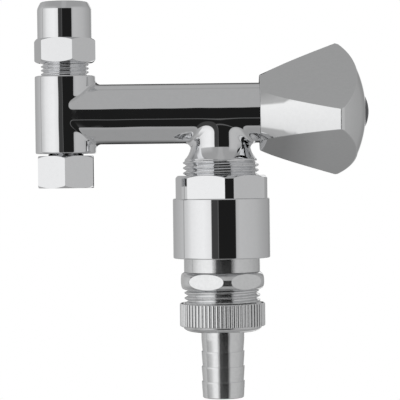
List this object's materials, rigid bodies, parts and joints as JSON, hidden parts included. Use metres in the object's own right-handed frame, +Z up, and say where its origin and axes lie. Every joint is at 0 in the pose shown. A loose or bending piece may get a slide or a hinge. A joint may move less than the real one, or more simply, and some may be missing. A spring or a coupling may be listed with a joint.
{
  "type": "washing machine valve",
  "caption": "Chromed tee valve for a washing machine: swivel inlet nut, compression outlet, arm with lobed tap handle, anti-vacuum check valve and barbed hose tail.",
  "frame": {"origin": "centre of the inlet gasket's lower face, where the supply pipe seats", "axes": "+Z up the column to the compression outlet, +X along the arm to the handle, -Y to the viewer of the picture"},
  "size_m": [0.1162, 0.0429, 0.138],
  "materials": {
    "chrome": "polished chrome over brass",
    "handle_chrome": "polished chrome over a die casting",
    "brass": "turned brass",
    "spring_steel": "bright spring steel",
    "rubber": "moulded black rubber",
    "fibre": "red fibre sheet",
    "cartridge_plastic": "moulded white plastic",
    "cap_plastic": "dark grey gloss plastic"
  },
  "bodies": {
    "valve": {"valve_body": "chrome", "inlet_snap_ring": "spring_steel", "inlet_gasket": "fibre", "headwork_body": "brass", "headwork_seal": "fibre", "vent_housing": "chrome", "spout_gasket": "rubber", "nipple_gasket": "rubber", "outlet_nipple": "chrome", "vent_membrane": "rubber", "check_valve_housing": "cartridge_plastic", "check_valve_o_ring": "rubber", "check_spring": "spring_steel"},
    "handle": {"handle": "handle_chrome", "handle_screw": "spring_steel", "index_cap": "cap_plastic", "spindle": "brass", "spindle_o_rings": "rubber", "spindle_circlip": "spring_steel"},
    "valve_carrier": {"valve_carrier": "brass", "seat_washer": "rubber", "washer_screw": "brass"},
    "inlet_nut": {"inlet_nut": "chrome"},
    "clamp_ring": {"clamp_ring": "brass"},
    "compression_nut": {"compression_nut": "chrome"},
    "check_poppet": {"check_poppet": "cartridge_plastic", "poppet_seal": "rubber"},
    "hose_tail": {"hose_tail": "chrome", "hose_gasket": "rubber"},
    "hose_nut": {"hose_nut": "chrome"}
  },
  "joints": [
    {"name": "handle_turn", "type": "hinge", "parent": "valve", "child": "handle", "pos_m": [0.0675, 0, 0.01945], "axis": [1, 0, 0], "range_deg": [0, 900]},
    {"name": "carrier_slide", "type": "slide", "parent": "valve", "child": "valve_carrier", "axis": [1, 0, 0], "range_m": [0, 0.0045]},
    {"name": "inlet_nut_swivel", "type": "hinge", "parent": "valve", "child": "inlet_nut", "pos_m": [0, 0, 0], "axis": [0, 0, 1], "continuous": true},
    {"name": "clamp_ring_slide", "type": "slide", "parent": "valve", "child": "clamp_ring", "axis": [0, 0, 1], "range_m": [0, 0.00535]},
    {"name": "compression_nut_turn", "type": "hinge", "parent": "clamp_ring", "child": "compression_nut", "pos_m": [0, 0, 0.0375], "axis": [0, 0, 1], "range_deg": [0, 1440]},
    {"name": "check_poppet_slide", "type": "slide", "parent": "valve", "child": "check_poppet", "axis": [0, 0, -1], "range_m": [0, 0.002], "stiffness_N_per_m": 60, "springref_m": -0.004, "deforming": ["check_spring"]},
    {"name": "hose_tail_slide", "type": "slide", "parent": "valve", "child": "hose_tail", "axis": [0, 0, -1], "range_m": [0, 0.00363]},
    {"name": "hose_nut_turn", "type": "hinge", "parent": "hose_tail", "child": "hose_nut", "pos_m": [0.05385, 0, -0.05], "axis": [0, 0, -1], "range_deg": [0, 720]}
  ],
  "couplings": [
    {"joint": "carrier_slide", "follows": "handle_turn", "m_per_rad": 0.00028647},
    {"joint": "compression_nut_turn", "follows": "clamp_ring_slide", "rad_per_m": 4699.4},
    {"joint": "hose_nut_turn", "follows": "hose_tail_slide", "rad_per_m": 3463.7}
  ]
}
